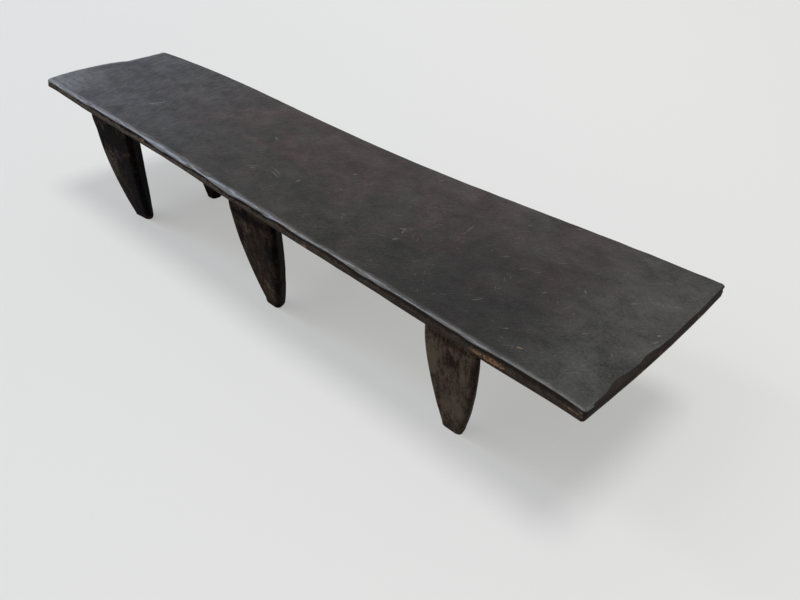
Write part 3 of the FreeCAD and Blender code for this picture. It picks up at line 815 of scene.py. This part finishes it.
def oiled_top():
    """Dark oiled wood: greyer at both ends, streaked, scratched and polished by use, with painted shade
    on the front of the wide half and on the rim along the back and the wide end.
    """
    s = Shader("oiled_top")
    place = s.places()
    x, y, _ = s.split(place)
    far_end = s.span(x, -0.30, -0.80)
    wide_end = s.span(x, 0.70, 1.02)
    clouds = s.noise(place, 4.0, 5.0, 0.6, 0.8)
    blotches = s.noise(place, 13.0, 4.0, 0.65, 0.5)
    along_streaks = s.stretched(place, (1, 1, 1), (0, 0, -STREAK_ANGLE))
    along_far = s.stretched(place, (1, 1, 1), (0, 0, -FAR_STREAK_ANGLE))
    streaks = s.noise(s.stretched(along_streaks, (45, 150, 60)), 1.0, 4.0, 0.65)
    far_streaks = s.noise(s.stretched(along_far, (30, 110, 60)), 1.0, 4.0, 0.68)
    streaks = s.number_mix(far_end, streaks, far_streaks)
    grit = s.noise(place, 150.0, 4.0, 0.75)

    red = s.mix(wide_end, (0.033, 0.021, 0.020, 1), (0.055, 0.052, 0.048, 1))
    grey = s.mix(wide_end, (0.023, 0.0205, 0.018, 1), (0.055, 0.055, 0.050, 1))
    to_back = s.span(y, -0.30, 0.15, -0.10, 0.10)
    redness = s.span(s.sum("ADD", s.noise(place, 8.0, 6.0, 0.7, 0.4), to_back), 0.44, 0.58)
    colour = s.mix(redness, grey, red)
    far_colour = s.mix(blotches, (0.024, 0.022, 0.023, 1), (0.037, 0.033, 0.033, 1))
    colour = s.mix(far_end, colour, far_colour)
    strokes = s.sum("MULTIPLY", s.span(x, -0.65, -0.20, 4.4, 1.3), s.span(x, 0.1, 0.8, 1.0, 0.4))
    tone = 1.0
    for share, weight in ((clouds, 1.6), (streaks, strokes), (blotches, 2.4), (grit, 2.6)):
        tone = s.lean(tone, share, weight)
    darker = s.span(x, 0.20, 0.50, 1.0, 0.80)
    # Painted shade: the front of the wide half darkened to hold down the lamps' sheen there
    painted_shade_front = s.sum("MULTIPLY", s.span(x, 0.30, 0.50), s.span(x, 0.92, 0.80))
    painted_shade_front = s.sum("MULTIPLY", painted_shade_front, s.span(y, 0.20, -0.05))
    darker = s.sum("MULTIPLY", darker, s.number_mix(painted_shade_front, 1.0, 0.74))
    colour = s.scale(colour, s.sum("MULTIPLY", s.sum("MAXIMUM", tone, 0.2), darker))

    scratches = None
    for angle, seed in ((0.15, 3), (-0.25, 11), (0.5, 23), (-1.2, 31)):
        turned = s.stretched(along_streaks, (1, 1, 1), (0, 0, angle))
        lines = s.noise(s.stretched(turned, (16 + seed, 140, 140)), 1.0, 1.0, 0.5)
        lines = s.span(lines, 0.68, 0.78)
        scratches = lines if scratches is None else s.sum("MAXIMUM", scratches, lines)
    scratches = s.sum("MULTIPLY", scratches, s.span(blotches, 0.46, 0.60))
    ragged = s.number_mix(s.noise(place, 300.0, 2.0, 0.6), -0.6, 0.5)
    pale_nicks = nick_mask(s, place, NICKS, ragged)
    raw_nicks = nick_mask(s, place, RAW_NICKS, ragged)
    dark_nicks = nick_mask(s, place, DARK_NICKS, ragged)
    # Painted over the colour: scratches and nicks, and painted shade on the rim's rounding along the
    # back edge and the wide end
    for mask, share, over in (
        (scratches, 0.32, (0.15, 0.145, 0.135, 1)),
        (pale_nicks, 0.36, (0.20, 0.19, 0.165, 1)),
        (raw_nicks, 0.6, (0.36, 0.26, 0.13, 1)),
        (dark_nicks, 0.8, (0.008, 0.006, 0.005, 1)),
        (s.attribute("painted_shade_rim"), 0.75, (0.006, 0.005, 0.004, 1)),
    ):
        colour = s.painted(colour, mask, share, over)
    roughness = s.span(s.noise(place, 9.0, 4.0, 0.6), 0.3, 0.7, 0.34, 0.50)
    roughness = s.sum("MULTIPLY_ADD", scratches, 0.15, roughness)
    normal = s.bump(streaks, 0.4, 0.0016)
    normal = s.bump(grit, 0.15, 0.0008, normal)
    marks = s.sum("MAXIMUM", scratches, pale_nicks)
    marks = s.sum("MAXIMUM", marks, s.sum("MAXIMUM", raw_nicks, dark_nicks))
    normal = s.bump(s.sum("MULTIPLY", marks, -1.0), 0.5, 0.0006, normal)
    shader = s.principled(colour, roughness, normal, 0.2)
    shader.inputs["Specular Tint"].default_value = (0.87, 0.89, 1.0, 1)
    broad = s.noise(s.stretched(place, (15, 70, 70)), 1.0, 4.0, 0.7)
    narrow = s.noise(s.stretched(place, (50, 160, 160)), 1.0, 3.0, 0.7)
    rubbed = s.span(broad, 0.33, 0.56, 0.50, 1.35)
    rubbed = s.sum("MULTIPLY", rubbed, s.span(narrow, 0.30, 0.60, 0.65, 1.15))
    rubbed = s.sum("MULTIPLY", rubbed, s.span(x, -0.2, 0.5, 1.15, 0.85))
    worn = s.sum("MULTIPLY", s.attribute("polish"), rubbed)
    s.put(shader.inputs["Coat Weight"], s.sum("MINIMUM", worn, 1.0))
    shader.inputs["Coat Roughness"].default_value = 0.24
    shader.inputs["Coat IOR"].default_value = 1.65
    return s.material


def hewn_edge():
    """The plank's duller edges and underside, with raw wood where they are knocked, and painted light
    and shade down the face.
    """
    s = Shader("hewn_edge")
    place = s.places()
    x = s.split(place)[0]
    down = s.attribute("down_face")
    fibres = s.noise(s.stretched(place, (26, 90, 420)), 1.0, 5.0, 0.65, 0.3)
    blotches = s.noise(place, 24.0, 4.0, 0.65, 0.4)
    mottle = s.noise(place, 75.0, 5.0, 0.72)
    # Painted light and shade down the face: a dark line of painted shade under the rim, thinner at the
    # narrow end, then a painted lit band, lighter towards the narrow end; the underside keeps the dark
    # colour
    shifted = s.lean(s.lean(down, blotches, 0.8), mottle, 0.7)
    shifted = s.sum("ADD", shifted, s.span(x, -0.98, -0.72, 0.24, 0.0))
    painted_lit_band = s.sum("MULTIPLY", s.span(shifted, 0.26, 0.56), s.span(shifted, 1.30, 0.80))
    painted_lit_band = s.sum("MULTIPLY", painted_lit_band, s.span(fibres, 0.30, 0.62, 0.35, 1.0))
    painted_lit_band = s.sum("MULTIPLY", painted_lit_band, s.span(mottle, 0.34, 0.60, 0.40, 1.25))
    wide_end = s.span(x, 1.02, 1.05)
    shade = s.mix(s.span(x, -0.2, 0.5), (0.015, 0.011, 0.0095, 1), (0.030, 0.023, 0.019, 1))
    wide_shade = s.mix(mottle, (0.034, 0.026, 0.024, 1), (0.084, 0.070, 0.065, 1))
    dark = s.mix(wide_end, shade, wide_shade)
    lit = s.mix(s.span(x, -0.7, 0.6), (0.150, 0.122, 0.102, 1), (0.080, 0.062, 0.050, 1))
    colour = s.mix(painted_lit_band, dark, lit)
    specks = s.span(s.noise(place, 190.0, 3.0, 0.6), 0.60, 0.72)
    colour = s.painted(colour, specks, 0.30, (0.20, 0.14, 0.10, 1))
    ragged = s.number_mix(s.noise(place, 120.0, 5.0, 0.75), -2.2, 2.2)
    raw = patch_mask(s, place, RAW_PATCHES, ragged)
    raw_grain = s.span(s.noise(place, 260.0, 4.0, 0.7), 0.35, 0.65)
    raw_colour = s.mix(raw_grain, (0.070, 0.030, 0.017, 1), (0.55, 0.31, 0.17, 1))
    colour = s.painted(colour, raw, 0.9, raw_colour)
    normal = s.bump(fibres, 0.5, 0.0016)
    normal = s.bump(blotches, 0.4, 0.0020, normal)
    s.principled(colour, 0.72, normal, 0.04)
    return s.material


def leg_wood():
    """The legs' dull wood: reddish black-brown, with paler grey-brown patches and streaks, and dark
    patches, some of them painted shade.
    """
    s = Shader("leg_wood")
    place = s.places()
    x = s.split(place)[0]
    streaks = s.noise(s.stretched(place, (100, 100, 12)), 1.0, 5.0, 0.65, 0.3)
    clouds = s.noise(s.stretched(place, (1, 1, 0.6)), 16.0, 4.0, 0.6, 0.5)
    mottle = s.noise(s.stretched(place, (1, 1, 0.7)), 60.0, 5.0, 0.72, 0.4)
    grit = s.noise(place, 210.0, 3.0, 0.65)
    ragged = s.number_mix(s.noise(place, 45.0, 5.0, 0.75), -1.6, 1.6)
    dark = patch_mask(s, place, DARK_AND_SHADED_LEG_PATCHES, ragged)
    pale = patch_mask(s, place, PALE_LEG_PATCHES, ragged)
    tone = s.sum("ADD", s.span(x, -0.7, -0.1, 0.24, 0.36), s.span(x, 0.1, 0.6, 0.0, 0.36))
    patchy = s.span(x, 0.1, 0.6, 1.5, 0.8)
    for share, weight in ((clouds, 0.6), (mottle, patchy), (streaks, 1.3), (grit, 1.0)):
        tone = s.lean(tone, share, weight)
    tone = s.sum("MULTIPLY_ADD", pale, s.span(x, -0.6, -0.2, 0.40, 0.20), tone)
    # Darker in the dark patches, among them painted shade and painted shadow
    tone = s.sum("MULTIPLY_ADD", dark, s.span(x, 0.1, 0.6, -0.46, -0.26), tone)
    greenish = s.span(s.sum("MULTIPLY_ADD", pale, 0.06, s.noise(place, 26.0, 4.0, 0.6)), 0.46, 0.56)
    ruddy = s.mix(s.span(x, -0.6, -0.2), (0.034, 0.020, 0.025, 1), (0.038, 0.020, 0.016, 1))
    middle_tone = s.mix(greenish, ruddy, (0.032, 0.023, 0.015, 1))
    palest = s.mix(greenish, (0.180, 0.130, 0.098, 1), (0.160, 0.134, 0.096, 1))
    colour = s.mix(s.span(tone, -0.1, 0.42), (0.0030, 0.0020, 0.0024, 1), middle_tone)
    colour = s.mix(s.span(tone, 0.36, 1.1), colour, palest)
    raw = patch_mask(s, place, RAW_LEG_PATCHES, ragged)
    raw_colour = s.mix(s.noise(place, 220.0, 3.0, 0.6), (0.07, 0.036, 0.022, 1), (0.30, 0.19, 0.11, 1))
    colour = s.painted(colour, raw, 0.7, raw_colour)
    normal = s.bump(streaks, 0.5, 0.0016)
    normal = s.bump(mottle, 0.4, 0.0020, normal)
    normal = s.bump(grit, 0.25, 0.0010, normal)
    s.principled(colour, 0.62, normal, 0.02)
    return s.material


def floor_paint():
    """A pale floor that shows the shadow softly and throws little light back."""
    s = Shader("floor_paint")
    rays = s.add("ShaderNodeLightPath").outputs
    seen = s.sum("MAXIMUM", rays["Is Camera Ray"], rays["Is Glossy Ray"])
    seen = s.sum("MAXIMUM", seen, rays["Is Transmission Ray"])
    shades = []
    for grey in (FLOOR_BOUNCE, FLOOR_COLOUR):
        diffuse = s.add("ShaderNodeBsdfDiffuse")
        diffuse.inputs["Color"].default_value = grey
        shades.append(diffuse)
    plain = s.add("ShaderNodeEmission")
    plain.inputs["Color"].default_value = FLOOR_COLOUR
    away = s.add("ShaderNodeVectorMath", operation="DISTANCE")
    s.put(away.inputs[0], s.places())
    away.inputs[1].default_value = BRIGHT_SIDE
    s.put(plain.inputs["Strength"], s.span(away.outputs["Value"], 0, 6.5, 0.885, 1.285))
    pale = s.add("ShaderNodeMixShader")
    pale.inputs[0].default_value = FLOOR_PLAIN_SHARE
    s.links.new(shades[1].outputs[0], pale.inputs[1])
    s.links.new(plain.outputs[0], pale.inputs[2])
    both = s.add("ShaderNodeMixShader")
    s.put(both.inputs[0], seen)
    s.links.new(shades[0].outputs[0], both.inputs[1])
    s.links.new(pale.outputs[0], both.inputs[2])
    s.links.new(both.outputs[0], s.out.inputs["Surface"])
    return s.material


# The camera, as the photograph's stands

CAMERA_PLACE = (1.5872, -1.7531, 1.7020)
HEADING, TILT, ROLL = (math.radians(angle) for angle in (37.123, 53.382, 7.405))
camera_data = bpy.data.cameras.new("camera")
camera_data.sensor_width = 36
camera_data.lens = 39.985
camera_data.shift_x = -0.00255
camera_data.shift_y = 0.00154
camera_data.clip_start = 0.05
camera_data.clip_end = 60
camera = bpy.data.objects.new("camera", camera_data)
turned = Matrix.Rotation(HEADING, 4, "Z") @ Matrix.Rotation(TILT, 4, "X")
turned = turned @ Matrix.Rotation(ROLL, 4, "Z")
camera.matrix_world = Matrix.Translation(CAMERA_PLACE) @ turned
bpy.context.scene.collection.objects.link(camera)
bpy.context.scene.camera = camera

# The object

plank_piece = plank()
for material in (oiled_top(), hewn_edge()):
    plank_piece.data.materials.append(material)
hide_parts("top_slab")
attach(plank_piece, "root")

dull_wood = leg_wood()
for number, pair_name in enumerate(PAIRS):
    for edge_name in ("front", "back"):
        piece = leg(pair_name, edge_name, 30 + 10 * number + (edge_name == "back") * 5)
        piece.data.materials.append(dull_wood)
        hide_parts(f"leg_{pair_name}_{edge_name}")
        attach(piece, "root")

# The floor and the light

FLOOR_REACH = 12
floor_mesh = bpy.data.meshes.new("floor")
floor_corners = [(i * FLOOR_REACH, j * FLOOR_REACH, 0) for i, j in ((-1, -1), (1, -1), (1, 1), (-1, 1))]
floor_mesh.from_pydata(floor_corners, [], [(0, 1, 2, 3)])
floor = bpy.data.objects.new("floor", floor_mesh)
floor_mesh.materials.append(floor_paint())
bpy.context.scene.collection.objects.link(floor)


def sun(name, strength, angle, azimuth, elevation, colour=(1, 1, 1)):
    """A lamp far away, so broad that its shadows are soft."""
    data = bpy.data.lights.new(name, "SUN")
    data.energy = strength
    data.angle = math.radians(angle)
    data.color = colour
    lamp = bpy.data.objects.new(name, data)
    a, e = math.radians(azimuth), math.radians(elevation)
    way = Vector((math.cos(a) * math.cos(e), math.sin(a) * math.cos(e), math.sin(e)))
    lamp.rotation_mode = "QUATERNION"
    lamp.rotation_quaternion = way.to_track_quat("Z", "Y")
    bpy.context.scene.collection.objects.link(lamp)


def softbox(name, power, start, end, width, target, colour=(1, 1, 1)):
    """A long narrow lamp from start to end, turned to face the target."""
    start, end, target = Vector(start), Vector(end), Vector(target)
    data = bpy.data.lights.new(name, "AREA")
    data.shape = "RECTANGLE"
    data.size = (end - start).length
    data.size_y = width
    data.energy = power
    data.color = colour
    middle = (start + end) / 2
    along = (end - start).normalized()
    back = (middle - target).normalized()
    back = (back - along * back.dot(along)).normalized()
    lamp = bpy.data.objects.new(name, data)
    turn = Matrix((along, back.cross(along), back)).transposed().to_4x4()
    lamp.matrix_world = Matrix.Translation(middle) @ turn
    lamp.visible_camera = False
    bpy.context.scene.collection.objects.link(lamp)


def studio_world():
    """Light from all round, stronger from the narrow end, and a plain backdrop."""
    world = bpy.data.worlds.new("studio")
    world.use_nodes = True
    nodes, links = world.node_tree.nodes, world.node_tree.links
    nodes.clear()
    place = nodes.new("ShaderNodeTexCoord")
    axes = nodes.new("ShaderNodeSeparateXYZ")
    level = nodes.new("ShaderNodeMapRange")
    for word, value in (("From Min", -1), ("From Max", 1), ("To Min", 0.55), ("To Max", 0.05)):
        level.inputs[word].default_value = value
    lit, seen = nodes.new("ShaderNodeBackground"), nodes.new("ShaderNodeBackground")
    seen.inputs["Color"].default_value = FLOOR_COLOUR
    rays = nodes.new("ShaderNodeLightPath")
    first, second = nodes.new("ShaderNodeMath"), nodes.new("ShaderNodeMath")
    first.operation = second.operation = "MAXIMUM"
    both, out = nodes.new("ShaderNodeMixShader"), nodes.new("ShaderNodeOutputWorld")
    links.new(place.outputs["Generated"], axes.inputs[0])
    links.new(axes.outputs["X"], level.inputs["Value"])
    links.new(level.outputs["Result"], lit.inputs["Strength"])
    links.new(rays.outputs["Is Camera Ray"], first.inputs[0])
    links.new(rays.outputs["Is Glossy Ray"], first.inputs[1])
    links.new(first.outputs[0], second.inputs[0])
    links.new(rays.outputs["Is Transmission Ray"], second.inputs[1])
    links.new(second.outputs[0], both.inputs[0])
    links.new(lit.outputs[0], both.inputs[1])
    links.new(seen.outputs[0], both.inputs[2])
    links.new(both.outputs[0], out.inputs["Surface"])
    return world


COOL, PALE_COOL, BLUE = (0.58, 0.73, 1.0), (0.84, 0.90, 1.0), (0.55, 0.70, 1.0)
FRONT_EDGE = (0, -0.35, 0.41)
sun("overhead", 1.3, 22, 0, 90)
sun("front_left", 0.55, 50, 240, 32)
softbox("long_box_low", 41, (-5.6, -2.0, 3.2), (-3.25, -2.3, 4.2), 1.2, FRONT_EDGE, COOL)
softbox("long_box_high", 30, (-3.25, -2.3, 4.2), (-0.9, -2.6, 5.2), 1.2, FRONT_EDGE, PALE_COOL)
softbox("window", 6, (-4.6, 1.0, 1.6), (-3.9, 2.4, 1.6), 1.2, (-0.9, -0.2, 0.41), BLUE)
softbox("back_window", 7, (-2.6, 4.0, 2.4), (-0.6, 4.8, 3.0), 0.9, (0.7, 0.0, 0.41), (1.0, 1.0, 0.97))
bpy.context.scene.world = studio_world()
bpy.context.scene.view_settings.view_transform = "Standard"
